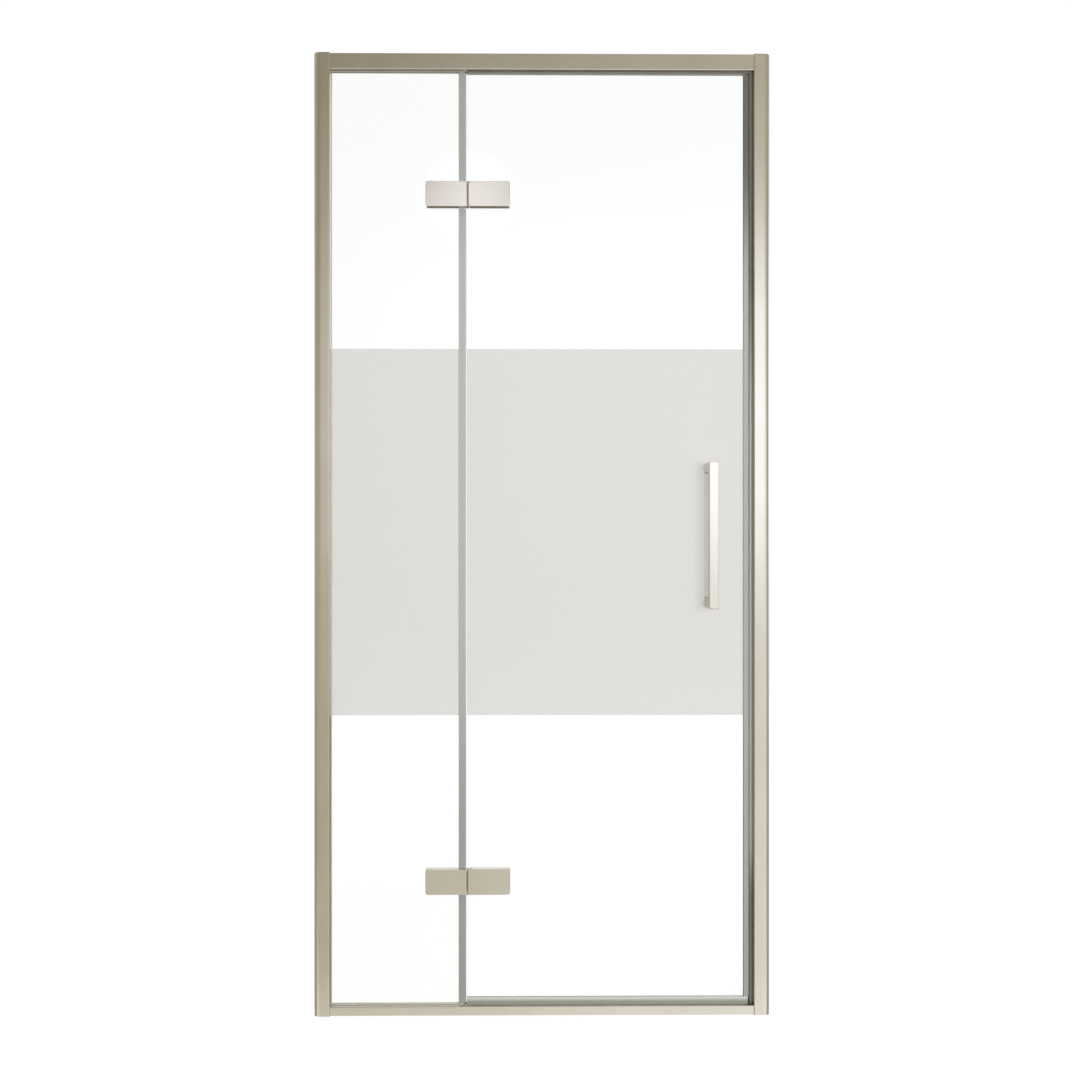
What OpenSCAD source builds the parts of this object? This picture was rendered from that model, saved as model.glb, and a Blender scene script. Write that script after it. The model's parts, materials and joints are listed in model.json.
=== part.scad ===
// Hinged shower door for a recess: a fixed pane and a door in a slim metal frame.
// X runs to the right seen from outside, Y into the shower, Z up. All sizes are in millimetres.
// The origin is on the tray, midway between the walls, in the middle plane of the glass.

/* [Opening] */
// Width of the opening, from wall to wall
opening_w = 900; // [820:10:1200]
// Height of the frame above the shower tray
opening_h = 1900; // [1750:10:2100]
// Distance from the left wall to the hinge axis
hinge_from_wall = 305.2; // [270:0.2:360]

/* [Glass] */
// Thickness of both panes
glass_t = 6; // [5:0.5:8]
// Bevel ground on the panes' edges
glass_arris = 0.6; // [0.3:0.1:0.9]
// Gap between the two panes
pane_gap = 5.4; // [4.8:0.2:7]
// How far the door pane runs past the hinge axis
door_lap = 5.2; // [3:0.2:6]
// Gap above the door pane
door_top_gap = 4; // [3.6:0.2:6]
// Gap below the door pane
door_bottom_gap = 6.5; // [5:0.5:9]

/* [Frame] */
// Width of a post seen from the front
post_face = 31.5; // [29:0.5:38]
// Front of the posts, ahead of the middle of the glass
post_front = 18; // [16:0.5:22]
// Back of the frame, behind the middle of the glass
frame_back = 7; // [6.8:0.1:10]
// Wall of the metal profiles
profile_t = 1.6; // [1.2:0.1:1.9]
// Width over which a post's front falls away towards the wall
post_crown_w = 12; // [6:0.5:14]
// How far a post's front falls away at the wall
post_crown_h = 4; // [1:0.5:4]
// Radius of a post's inner front edge
post_inner_r = 2; // [0.5:0.5:2.5]
// Depth of the slot that takes the glass in the posts and the rail
slot_depth = 12; // [10:0.5:13]
// Thickness of a glazing gasket
gasket_t = 1.8; // [1.4:0.1:2.1]
// Height of the top rail
rail_h = 32; // [30:1:45]
// Front of the top rail, behind the front of the posts
rail_setback = 2.5; // [1:0.5:4]
// Height of the threshold
sill_h = 18; // [17:0.5:26]
// Front of the threshold, behind the front of the posts
sill_setback = 3; // [1:0.5:4]
// Depth of the glass slot in the threshold
sill_slot_depth = 8; // [7:0.5:9]
// Thickness of a post's cap
cap_t = 1.5; // [1:0.1:3]

/* [Wall channels] */
// Strip of wall channel that the post leaves bare
wall_strip = 2; // [1:0.5:5]
// Depth of a wall channel, from the wall
wall_channel_depth = 15; // [13:0.5:15]
// Sliding clearance between a post and its wall channel
slide_gap = 0.3; // [0.2:0.05:0.5]
// Diameter of a wall screw hole
wall_hole_d = 5; // [4:0.5:6]
// Number of wall screw holes in a channel
wall_hole_count = 4; // [3:1:6]
// Distance of the outer wall screw holes from the ends
wall_hole_end = 150; // [100:10:250]
// Distance of the outer locking screws from the ends
lock_screw_end = 300; // [200:10:400]
// Diameter of a locking screw
lock_screw_d = 3.5; // [3:0.1:4.2]

/* [Hinges] */
// Width of a hinge over both leaves
hinge_w = 166.7; // [150:0.1:190]
// Height of a hinge
hinge_h = 50; // [46:1:70]
// Distance from the top of the frame to the middle of the upper hinge
upper_hinge_drop = 278; // [200:1:360]
// Height of the middle of the lower hinge
lower_hinge_z = 264; // [200:1:360]
// Thickness of a front leaf
leaf_t = 14; // [12:0.5:16]
// Corner radius of a leaf
leaf_corner_r = 4.5; // [1.5:0.5:6]
// Radius of a leaf's front edges
leaf_edge_r = 0.8; // [0.4:0.1:1.2]
// Thickness of a back clamp plate
clamp_t = 8; // [6:0.5:10]
// How much smaller a clamp plate is than its leaf, on its three outer sides
clamp_inset = 5; // [0:0.5:7]
// Thickness of the soft pads on the glass
pad_t = 1; // [0.6:0.1:1.5]
// Radius of the knuckle
knuckle_r = 4; // [3.8:0.1:4.5]
// Clearance round the knuckle
knuckle_gap = 0.4; // [0.35:0.05:0.6]
// Height of each lug that carries the pin
lug_h = 5; // [4:0.5:7]
// Thickness of a washer
washer_t = 0.9; // [0.6:0.1:1.5]
// Play between a washer and the knuckle
washer_play = 0.1; // [0.05:0.01:0.2]
// Diameter of the pin
pin_d = 4.5; // [4:0.1:5]
// Running clearance round the pin
pin_gap = 0.05; // [0.02:0.01:0.1]
// Diameter of a clamp screw
clamp_screw_d = 6; // [5:0.5:6.5]
// Distance between the two clamp screws of a leaf
clamp_screw_pitch = 40; // [34:1:44]

/* [Handle] */
// Length of the handle
handle_l = 285; // [200:5:450]
// Width and depth of the handle's square bar
handle_bar = 18; // [16:0.5:22]
// Distance from the glass to the front of the bar
handle_reach = 59; // [50:0.5:70]
// Height of the middle of the handle
handle_z = 948; // [850:1:1100]
// Distance from the middle of the handle to the door pane's free edge
handle_from_edge = 72.8; // [55:0.1:110]
// Thickness of the strip that joins the handle's legs on the glass
handle_strip_t = 2; // [1.5:0.5:4]
// Radius of the handle's edges
handle_edge_r = 1; // [0.5:0.1:1.5]
// Diameter of a handle stud
stud_d = 6; // [5:0.5:6.5]
// Diameter of an inner knob
knob_d = 16; // [15:0.5:26]
// Length of an inner knob
knob_l = 10; // [8:0.5:16]

/* [Seals] */
// Wall of the clip-on seals
seal_t = 1.5; // [1:0.1:1.6]
// Length of the seal legs that grip the fixed pane
panel_seal_leg = 10.4; // [8:0.2:16]
// Length of the seal legs that grip the door pane's free edge
door_seal_leg = 4.2; // [3.5:0.1:8]
// Height of the seal legs that grip the door pane's bottom edge
bottom_seal_leg = 6.5; // [5:0.5:10]
// Air gap between a seal and what it closes against
seal_gap = 0.4; // [0.35:0.05:0.8]
// Air gap between the two magnets' faces
magnet_gap = 0.8; // [0.7:0.1:1.2]
// Depth of the door seal's magnet chamber
magnet_chamber = 5.2; // [4.8:0.1:6]
// Width of a magnet strip
magnet_w = 5.6; // [4:0.1:5.8]
// Thickness of a magnet strip
magnet_t = 3; // [2:0.1:3.2]
// Thickness of the plate of the seal under the top rail
stop_plate_t = 1; // [0.8:0.1:1.4]
// Drop of that seal's rib below the top rail
stop_drop = 2.6; // [1.8:0.1:3]

/* [Hidden] */
$fn = 48;

// Colours of the pieces
nickel = "#b9b09c";
nickel_pale = "#e4e0d6";
clear_glass = "#dcebe8";
clear_seal = "#b4b8b2";
dark_seal = "#55554c";
steel = "#c4c6c8";
nylon = "#e8e8e4";

// A cut runs this far past the face that it leaves by
past = 1;

// Heights in the frame
post_h = opening_h - cap_t;
rail_low = opening_h - rail_h;
sill_slot_low = sill_h - sill_slot_depth;

// Faces of the glass and of the slots that take it
glass_face = glass_t / 2;
slot_half = glass_face + gasket_t;
rail_front = post_front - rail_setback;
sill_front = post_front - sill_setback;

// Places across the opening
half_w = opening_w / 2;
post_inner = half_w - post_face;
axis_x = hinge_from_wall - half_w;
slot_floor = post_face - slot_depth;
glass_bite = slot_depth - 2;

// The fixed pane
setting_block_t = 3;
fixed_left = -post_inner - glass_bite;
fixed_right = axis_x - door_lap - pane_gap;
fixed_low = sill_slot_low + setting_block_t;
fixed_top = rail_low + glass_bite;

// The door pane and what grips its edges
door_left = axis_x - door_lap;
door_low = sill_h + door_bottom_gap;
door_top = rail_low - door_top_gap;
strike_head = 6.8;
strike_lip = 6;
strike_face = post_inner - strike_head;
door_seal_face = strike_face - magnet_gap;
door_web_t = 1.2;
door_right = door_seal_face - magnet_chamber - door_web_t;

// Hinges
hinge_heights = [lower_hinge_z, opening_h - upper_hinge_drop];
leaf_back = glass_face + pad_t;
leaf_front = leaf_back + leaf_t;
axis_y = knuckle_r - leaf_front;
leaf_gap_middle = axis_x - (knuckle_r + knuckle_gap) / 2;
hinge_left = leaf_gap_middle - hinge_w / 2;
hinge_right = leaf_gap_middle + hinge_w / 2;
leaf_set_back = knuckle_r + knuckle_gap;
lug_r = knuckle_r - knuckle_gap;
lug_cover = 1.6;
knuckle_half = hinge_h / 2 - lug_h - washer_t - washer_play;
fixed_clamp_right = fixed_right - 1;
door_clamp_left = axis_x + 1;
fixed_clamp = [hinge_left + clamp_inset, fixed_clamp_right];
door_clamp = [door_clamp_left, hinge_right - clamp_inset];
clamp_half = hinge_h / 2 - clamp_inset;
fixed_screws_x = (hinge_left + fixed_clamp_right) / 2;
door_screws_x = (door_clamp_left + hinge_right) / 2;
clamp_back = leaf_back + clamp_t;
pin_press = 0.02;
thread_gap = 0.05;
screw_clear = 0.4;
sleeve_t = 2.6;
hole_gap = 0.2;
clamp_hole_r = clamp_screw_d / 2 + screw_clear / 2;
sleeve_r = clamp_hole_r + sleeve_t;
clamp_screw_end = leaf_front - 5;
screw_head_r = clamp_screw_d * 0.95;
screw_head_h = clamp_screw_d / 2;

// Handle
handle_x = door_right - handle_from_edge;
handle_washer_t = 1;
handle_front = glass_face + handle_reach;
handle_legs_z = [handle_z - (handle_l - handle_bar) / 2, handle_z + (handle_l - handle_bar) / 2];
handle_foot = glass_face + handle_washer_t;
stud_bite = 15;

// Screws of the frame
screw_port_r = 1.7;
corner_screw_r = 1.65;
corner_screw_bite = 22;
corner_head_r = 2.8;
corner_head_h = 2.5;
rail_ports_h = [6, 24];
port_boss_r = 3.2;
port_y = -slot_half - profile_t - port_boss_r + 0.3;
sill_port_z = sill_h / 2;
head_room = 0.3;
crown_h = min(post_crown_h, post_front - profile_t + port_y - corner_head_r - head_room);
pocket_front = -post_front + crown_h + profile_t;
channel_reach = min(wall_channel_depth, slot_floor - profile_t - corner_head_h - 0.4);
wall_hole_y = (pocket_front + frame_back - profile_t) / 2;
wall_hole_pitch = (opening_h - 2 * wall_hole_end) / (wall_hole_count - 1);
wall_holes_z = [for (i = [0:wall_hole_count - 1]) wall_hole_end + i * wall_hole_pitch];
lock_screws_z = [lock_screw_end, opening_h / 2, opening_h - lock_screw_end];
lock_screw_u = (wall_strip + channel_reach) / 2;
lock_head_r = lock_screw_d + 0.2;
lock_head_h = 2.2;
lock_screw_l = 7;
cover_gap = 0.3;
cover_t = 0.9;

// Straight stretches of a profile drawn in the plane across them
module along_x(x0, x1) translate([x0, 0, 0]) rotate([90, 0, 90]) linear_extrude(x1 - x0) children();
module along_y(y0, y1) translate([0, y1, 0]) rotate([90, 0, 0]) linear_extrude(y1 - y0) children();
module along_z(z0, z1) translate([0, 0, z0]) linear_extrude(z1 - z0) children();
module rod_x(x0, x1, y, z, r) translate([x0, y, z]) rotate([0, 90, 0]) cylinder(h = x1 - x0, r = r);
module rod_y(y0, y1, x, z, r) translate([x, y1, z]) rotate([90, 0, 0]) cylinder(h = y1 - y0, r = r);
module rod_z(z0, z1, x, y, r) translate([x, y, z0]) cylinder(h = z1 - z0, r = r);

// A box and a flat rectangle from their lowest and highest corners
module block(low, high) translate(low) cube(high - low);
module flat(low, high) translate(low) square(high - low);

// The waste outside a round corner; inward points from the corner into the shape
module corner_waste(corner, inward, r) difference() {
    translate(corner + inward * (r - past) / 2) square(r + past, center = true);
    translate(corner + inward * r) circle(r = r);
}

// A rectangle whose corners have their own radii: low left, low right, high right, high left
module soft_rect(low, high, radii) {
    corners = [low, [high.x, low.y], high, [low.x, high.y]];
    inward = [[1, 1], [-1, 1], [-1, -1], [1, -1]];
    difference() {
        flat(low, high);
        for (i = [0:3]) if (radii[i] > 0) corner_waste(corners[i], inward[i], radii[i]);
    }
}

// A piece made for the left wall stands there, or is mirrored to the right one
module at_left_wall() translate([-half_w, 0, 0]) children();
module at_right_wall() mirror([1, 0, 0]) at_left_wall() children();

// Wall channel: a shallow U screwed to the wall, which the post slides over
module wall_channel_profile() {
    leg_front = pocket_front + slide_gap;
    leg_back = frame_back - profile_t - slide_gap;
    barb = 0.5;
    difference() {
        flat([0, leg_front], [channel_reach, leg_back]);
        flat([profile_t, leg_front + profile_t], [channel_reach + past, leg_back - profile_t]);
        for (y = [leg_front + 5, leg_back - 5])
            translate([0, y]) circle(r = barb);
    }
}
module wall_channel() color(nickel) difference() {
    along_z(0, post_h) wall_channel_profile();
    for (z = wall_holes_z) rod_x(-past, profile_t + past, wall_hole_y, z, wall_hole_d / 2);
    for (z = lock_screws_z) rod_y(0, frame_back, lock_screw_u, z, lock_screw_d / 2 + thread_gap);
}

// Outline of a post, whose front falls away in a quarter ellipse towards the wall
module post_outline() difference() {
    steps = 18;
    low = [wall_strip, -post_front];
    soft_rect(low, [post_face, frame_back], [0, post_inner_r, 0.8, 0.8]);
    polygon(concat([low + [post_crown_w, -past], low + [-past, -past], low + [-past, crown_h]],
                   [for (i = [0:steps]) crown_point(90 - 90 * i / steps)]));
}
function crown_point(a) = [wall_strip + post_crown_w * (1 - sin(a)), -post_front + crown_h * (1 - cos(a))];

// Post: an extrusion with a pocket for the wall channel, front chambers and a slot for the glass
module jamb_profile() difference() {
    post_outline();
    flat([wall_strip - past, pocket_front], [slot_floor - profile_t, frame_back - profile_t]);
    flat([wall_strip + post_crown_w * 0.66, -post_front + profile_t],
         [slot_floor - profile_t, pocket_front - profile_t]);
    flat([slot_floor, -post_front + profile_t], [post_face - profile_t, -slot_half - profile_t]);
    flat([slot_floor, -slot_half], [post_face + past, slot_half]);
}
module jamb() color(nickel) difference() {
    along_z(0, post_h) jamb_profile();
    for (h = rail_ports_h) corner_screw_hole(port_y, rail_low + h);
    corner_screw_hole(port_y, sill_port_z);
    for (z = lock_screws_z)
        rod_y(frame_back - profile_t - past, frame_back + past, lock_screw_u, z, lock_screw_d / 2 + thread_gap);
}
module corner_screw_hole(y, z)
    rod_x(slot_floor - profile_t - past, post_face + past, y, z, corner_screw_r + thread_gap);

// Cap on the top of a post, with a spigot into the front chamber
module post_cap() color(nickel) {
    fit = 0.2;
    spigot_h = 3;
    along_z(post_h, opening_h) {
        post_outline();
        flat([0, pocket_front + slide_gap], [wall_strip + past, frame_back - profile_t - slide_gap]);
    }
    along_z(post_h - spigot_h, post_h + 0.5)
        flat([slot_floor + fit, -post_front + profile_t + fit],
             [post_face - profile_t - fit, -slot_half - profile_t - fit]);
}

// Screws through the post into the ports of the rail and the threshold
module corner_screws() color(steel) {
    for (h = rail_ports_h) corner_screw(port_y, rail_low + h);
    corner_screw(port_y, sill_port_z);
}
module corner_screw(y, z) {
    seat = slot_floor - profile_t;
    rod_x(seat - 0.01, post_face + corner_screw_bite, y, z, corner_screw_r);
    difference() {
        rod_x(seat - corner_head_h, seat, y, z, corner_head_r);
        along_x_socket(seat - corner_head_h - past, seat - corner_head_h + 1.4, y, z);
    }
}
module along_x_socket(x0, x1, y, z) along_x(x0, x1) translate([y, z]) {
    square([0.8, 4], center = true);
    square([4, 0.8], center = true);
}

// Screws that lock a post to its wall channel, and their snap-on covers
module lock_screws() color(steel) for (z = lock_screws_z) {
    rod_y(frame_back - lock_screw_l, frame_back + 0.5, lock_screw_u, z, lock_screw_d / 2);
    translate([lock_screw_u, frame_back, z]) rotate([-90, 0, 0]) difference() {
        cylinder(h = lock_head_h, r1 = lock_head_r, r2 = lock_head_r - 0.8);
        translate([0, 0, lock_head_h]) cube([0.8, 4, 2], center = true);
        translate([0, 0, lock_head_h]) cube([4, 0.8, 2], center = true);
    }
}
module screw_covers() color(nickel_pale) for (z = lock_screws_z)
    translate([lock_screw_u, frame_back, z]) rotate([-90, 0, 0]) rotate_extrude() {
        inner = lock_head_r + cover_gap;
        top = lock_head_h + cover_gap;
        difference() {
            soft_rect([0, 0], [inner + cover_t, top + cover_t], [0, 0, cover_t, 0]);
            flat([-past, -past], [inner, top]);
        }
    }

// Top rail: a slot for the glass below, hollow above and in front, with two ports for the screws
module rail_profile() difference() {
    union() {
        difference() {
            soft_rect([-rail_front, 0], [frame_back, rail_h], [1.5, 0.6, 0.8, 1.5]);
            flat([-rail_front + profile_t, profile_t], [-slot_half - profile_t, rail_h - profile_t]);
            flat([-slot_half, slot_depth + profile_t], [frame_back - profile_t, rail_h - profile_t]);
            flat([-slot_half, -past], [slot_half, slot_depth]);
        }
        for (h = rail_ports_h) screw_port(rail_front, h);
    }
    for (h = rail_ports_h) translate([port_y, h]) circle(r = screw_port_r);
}
// Boss for a corner screw on the wall of the slot, with a web to the front wall
module screw_port(front, h) {
    translate([port_y, h]) circle(r = port_boss_r);
    flat([-front + profile_t / 2, h - profile_t / 2], [port_y, h + profile_t / 2]);
}
module top_rail() color(nickel)
    along_x(-post_inner, post_inner) translate([0, rail_low]) rail_profile();

// Threshold: a slot for the glass above, hollow in front and below, with one port for the screw
module sill_profile() difference() {
    floor_top = sill_slot_low - profile_t;
    union() {
        difference() {
            soft_rect([-sill_front, 0], [frame_back, sill_h], [0.6, 0.6, 1, 2]);
            flat([-sill_front + profile_t, profile_t], [-slot_half - profile_t, sill_h - profile_t]);
            flat([-slot_half, profile_t], [frame_back - profile_t, floor_top]);
            flat([-slot_half, sill_slot_low], [slot_half, sill_h + past]);
        }
        screw_port(sill_front, sill_port_z);
    }
    translate([port_y, sill_port_z]) circle(r = screw_port_r);
}
module threshold() color(nickel) along_x(-post_inner, post_inner) sill_profile();

// Strip that closes the threshold's slot under the door
module threshold_infill() color(nickel) {
    outer = slot_half - 0.1;
    along_x(door_left, post_inner) difference() {
        flat([-outer, sill_slot_low], [outer, sill_h]);
        flat([-outer + profile_t, sill_slot_low - past], [outer - profile_t, sill_h - profile_t]);
    }
}

// A pane from its lowest and highest corners, with the sharp edges ground off all round
module pane(low, high) intersection() {
    along_z(low.z, high.z) polygon(bevelled([low.x, low.y], [high.x, high.y], glass_arris));
    along_x(low.x, high.x) polygon(bevelled([low.y, low.z], [high.y, high.z], glass_arris));
}
function bevelled(low, high, cut) = [
    [low.x + cut, low.y], [high.x - cut, low.y], [high.x, low.y + cut], [high.x, high.y - cut],
    [high.x - cut, high.y], [low.x + cut, high.y], [low.x, high.y - cut], [low.x, low.y + cut]
];

// Fixed pane, drilled for the clamp screws of both hinges
module fixed_glass() color(clear_glass) difference() {
    pane([fixed_left, -glass_face, fixed_low], [fixed_right, glass_face, fixed_top]);
    for (z = hinge_heights, x = clamp_screws(fixed_screws_x)) glass_hole(x, z, sleeve_r);
}
module glass_hole(x, z, r) rod_y(-glass_face - past, glass_face + past, x, z, r + hole_gap);
function clamp_screws(middle) = [middle - clamp_screw_pitch / 2, middle + clamp_screw_pitch / 2];

// Blocks that the fixed pane stands on
module setting_blocks() color(dark_seal) {
    block_l = 60;
    span = fixed_right - fixed_left;
    for (x = [fixed_left + span * 0.3, fixed_left + span * 0.75])
        block([x - block_l / 2, -glass_face, sill_slot_low], [x + block_l / 2, glass_face, fixed_low]);
}

// Glazing gaskets: a bar in each slot that the fixed pane enters, with a small lip outside
gasket_depth = 8;
gasket_lip = 0.8;
module glazing_gasket() {
    y0 = glass_face;
    y1 = slot_half;
    left = -post_inner;
    low = sill_h + gasket_lip;
    high = rail_low - gasket_lip;
    block([left - gasket_depth, y0, low], [left + gasket_lip, y1, high]);
    block([left, y0, high], [fixed_right, y1, rail_low + gasket_depth]);
    block([left, y0, fixed_low], [fixed_right, y1, low]);
}
module glazing_gasket_front() color(clear_seal) mirror([0, 1, 0]) glazing_gasket();
module glazing_gasket_back() color(clear_seal) glazing_gasket();

// Seal on the fixed pane's free edge, cut away at the hinges
module panel_edge_seal() color(clear_seal) {
    edge_gap = 1;
    nose = door_left - seal_gap - edge_gap;
    cut = hinge_h / 2 + 0.5;
    low = sill_h + gasket_lip;
    high = rail_low - gasket_lip;
    for (span = [[low, hinge_heights[0] - cut], [hinge_heights[0] + cut, hinge_heights[1] - cut],
                 [hinge_heights[1] + cut, high]])
        along_z(span[0], span[1]) difference() {
            union() {
                soft_rect([fixed_right - panel_seal_leg, -glass_face - seal_t],
                          [fixed_right + seal_t, glass_face + seal_t], [0.7, 0.7, 0.7, 0.7]);
                soft_rect([fixed_right, -glass_face], [nose, glass_face], [0, 1, 1, 0]);
            }
            flat([fixed_right - panel_seal_leg - past, -glass_face], [fixed_right, glass_face]);
        }
}

// Seal over the door: clips into the rail's slot, with a plate that closes it and a rib above the pane
module top_stop_seal() color(dark_seal) {
    clip = slot_half - 0.1;
    clip_wall = 1.4;
    clip_h = 9;
    plate_lip = 0.8;
    rib_t = 1.8;
    along_x(door_left, post_inner) translate([0, rail_low]) {
        difference() {
            flat([-clip, -stop_plate_t], [clip, clip_h]);
            flat([-clip + clip_wall, 0.4], [clip - clip_wall, clip_h + past]);
        }
        flat([-clip, -stop_plate_t], [clip + plate_lip, 0]);
    }
    along_x(door_left, strike_face - strike_lip - 0.2) translate([-rib_t / 2, rail_low])
        soft_rect([0, -stop_drop], [rib_t, 0], [0.7, 0.7, 0, 0]);
}

// Strike: clips into the right post's slot and holds a magnet strip, with a lip behind the door seal
module jamb_magnet_holder() color(dark_seal)
    at_right_wall() along_z(sill_h, rail_low - stop_plate_t) difference() {
    clip = slot_half - 0.1;
    lip_front = glass_face + seal_t + seal_gap;
    lip_back = frame_back - 0.3;
    union() {
        flat([post_face - 10, -clip], [post_face, clip]);
        soft_rect([post_face, -clip - 0.6], [post_face + strike_head, clip + 0.6], [0, 0.8, 0.8, 0]);
        soft_rect([post_face, lip_front], [post_face + strike_head + strike_lip, lip_back], [0, 0.7, 0.7, 0]);
    }
    flat([post_face - 10 - past, -clip + 1.4], [post_face - 1.2, clip - 1.4]);
    flat(strike_magnet_low() - [magnet_fit, magnet_fit], strike_magnet_high() + [magnet_fit, magnet_fit]);
}
magnet_fit = 0.1;
magnet_skin = 1;
function strike_magnet_low() = [post_face + strike_head - magnet_skin - magnet_t, -magnet_w / 2];
function strike_magnet_high() = [post_face + strike_head - magnet_skin, magnet_w / 2];
module jamb_magnet() color(steel) at_right_wall()
    along_z(sill_h + 2, rail_low - 4) flat(strike_magnet_low(), strike_magnet_high());

// Hinge: two leaves on the front of the glass, a clamp plate behind each, and a pin near the front face
module leaf_plan(x0, x1, edges) soft_rect([x0, -leaf_front], [x1, -leaf_back], edges);
module leaf_plate(x0, x1, corners, plan_edges) intersection() {
    along_z(-hinge_h / 2, hinge_h / 2) leaf_plan(x0, x1, plan_edges);
    along_x(x0, x1) soft_rect([-leaf_front, -hinge_h / 2], [-leaf_back, hinge_h / 2],
                              [leaf_edge_r, 0, 0, leaf_edge_r]);
    along_y(-leaf_front, -leaf_back) soft_rect([x0, -hinge_h / 2], [x1, hinge_h / 2], corners);
}

// The door leaf's knuckle, and a lug of the fixed leaf, whose neck stays behind the pin
module knuckle() along_z(-knuckle_half, knuckle_half) {
    translate([axis_x, axis_y]) circle(r = knuckle_r);
    flat([axis_x, -leaf_front], [axis_x + leaf_set_back + 1, -leaf_back]);
}
module knuckle_lug(low) along_z(low, low + lug_h) {
    translate([axis_x, axis_y]) circle(r = lug_r);
    flat([axis_x - leaf_set_back - 1, axis_y + knuckle_gap], [axis_x, -leaf_back]);
}

// Pockets that lighten the casting from behind, between its screw bosses
module leaf_pockets(x0, x1, screws_x) {
    wall = 3;
    boss = clamp_screw_d;
    depth = leaf_t - 4;
    spans = [[x0 + wall, screws_x[0] - boss], [screws_x[0] + boss, screws_x[1] - boss],
             [screws_x[1] + boss, x1 - wall]];
    for (span = spans) if (span[1] - span[0] > 4)
        along_y(-leaf_back - depth, -leaf_back + past)
            soft_rect([span[0], -hinge_h / 2 + wall], [span[1], hinge_h / 2 - wall], [2, 2, 2, 2]);
}
module leaf_screw_holes(xs) for (x = xs)
    rod_y(-clamp_screw_end - past, -leaf_back + past, x, 0, clamp_screw_d / 2 + thread_gap);

module fixed_leaf() color(nickel_pale) difference() {
    plate_right = axis_x - leaf_set_back;
    screws = clamp_screws(fixed_screws_x);
    r = leaf_corner_r;
    union() {
        leaf_plate(hinge_left, plate_right, [r, 0, 0, r], [leaf_edge_r, 0.3, 0, 0]);
        for (low = [-hinge_h / 2, hinge_h / 2 - lug_h]) knuckle_lug(low);
    }
    rod_z(-hinge_h, hinge_h, axis_x, axis_y, pin_d / 2 + pin_press);
    leaf_pockets(hinge_left, plate_right - 2, screws);
    leaf_screw_holes(screws);
}
module door_leaf() color(nickel_pale) difference() {
    plate_left = axis_x + leaf_set_back;
    screws = clamp_screws(door_screws_x);
    r = leaf_corner_r;
    union() {
        difference() {
            leaf_plate(axis_x + lug_cover, hinge_right, [0, r, r, 0], [0, leaf_edge_r, 0, 0]);
            block([axis_x, axis_y, -hinge_h], [plate_left, 0, hinge_h]);
            rod_z(-hinge_h, hinge_h, axis_x, axis_y, lug_r + knuckle_gap);
        }
        knuckle();
    }
    rod_z(-hinge_h, hinge_h, axis_x, axis_y, pin_d / 2 + pin_gap);
    leaf_pockets(plate_left + 2, hinge_right, screws);
    leaf_screw_holes(screws);
}

// Back clamp plate, countersunk for its screws
module clamp_plate(span, xs) color(nickel_pale) difference() {
    r = 3;
    x0 = span[0];
    x1 = span[1];
    intersection() {
        along_y(leaf_back, clamp_back) soft_rect([x0, -clamp_half], [x1, clamp_half], [r, r, r, r]);
        along_x(x0, x1) soft_rect([leaf_back, -clamp_half], [clamp_back, clamp_half],
                                  [0, leaf_edge_r, leaf_edge_r, 0]);
        along_z(-clamp_half, clamp_half)
            soft_rect([x0, leaf_back], [x1, clamp_back], [0, 0, leaf_edge_r, leaf_edge_r]);
    }
    for (x = xs) {
        rod_y(leaf_back - past, clamp_back + past, x, 0, clamp_hole_r);
        countersink(x, 0.1);
    }
}
module countersink(x, extra) translate([x, clamp_back - screw_head_h, 0]) rotate([-90, 0, 0])
    cylinder(h = screw_head_h + extra, r1 = clamp_screw_d / 2, r2 = screw_head_r + extra);
module fixed_clamp() clamp_plate(fixed_clamp, clamp_screws(fixed_screws_x));
module door_clamp() clamp_plate(door_clamp, clamp_screws(door_screws_x));

// Soft pads between the glass and the metal, front and back
module hinge_pads(front, back, xs) color(clear_seal) for (z = hinge_heights) translate([0, 0, z]) {
    hinge_pad(front, -leaf_back, hinge_h / 2, xs);
    hinge_pad(back, glass_face, clamp_half, xs);
}
module hinge_pad(span, y, half, xs) difference() {
    inset = 0.6;
    block([span[0] + inset, y, -half + inset], [span[1] - inset, y + pad_t, half - inset]);
    for (x = xs) rod_y(y - past, y + pad_t + past, x, 0, sleeve_r + hole_gap);
}
module hinge_sleeves(xs) color(nylon) for (z = hinge_heights, x = xs) difference() {
    rod_y(-leaf_back, leaf_back, x, z, sleeve_r);
    rod_y(-leaf_back - past, leaf_back + past, x, z, clamp_hole_r);
}
module hinge_screws(xs) color(steel) for (z = hinge_heights, x = xs) translate([0, 0, z]) difference() {
    union() {
        rod_y(-clamp_screw_end, clamp_back - screw_head_h + 0.01, x, 0, clamp_screw_d / 2);
        countersink_head(x);
    }
    translate([x, clamp_back, 0]) rotate([90, 0, 0]) cylinder(h = 2.4, r = 2, $fn = 6);
}
module countersink_head(x) translate([x, clamp_back - screw_head_h, 0]) rotate([-90, 0, 0])
    cylinder(h = screw_head_h, r1 = clamp_screw_d / 2, r2 = screw_head_r);

module hinge_pins() color(steel) for (z = hinge_heights)
    rod_z(z - hinge_h / 2 + 0.5, z + hinge_h / 2 - 0.5, axis_x, axis_y, pin_d / 2);
module hinge_washers() color(nylon) for (z = hinge_heights, side = [-1, 1])
    translate([axis_x, axis_y, z + side * (hinge_h / 2 - lug_h - washer_t / 2)]) difference() {
        cylinder(h = washer_t, r = lug_r - 0.1, center = true);
        cylinder(h = washer_t + past, r = pin_d / 2 + pin_gap, center = true);
    }

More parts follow.
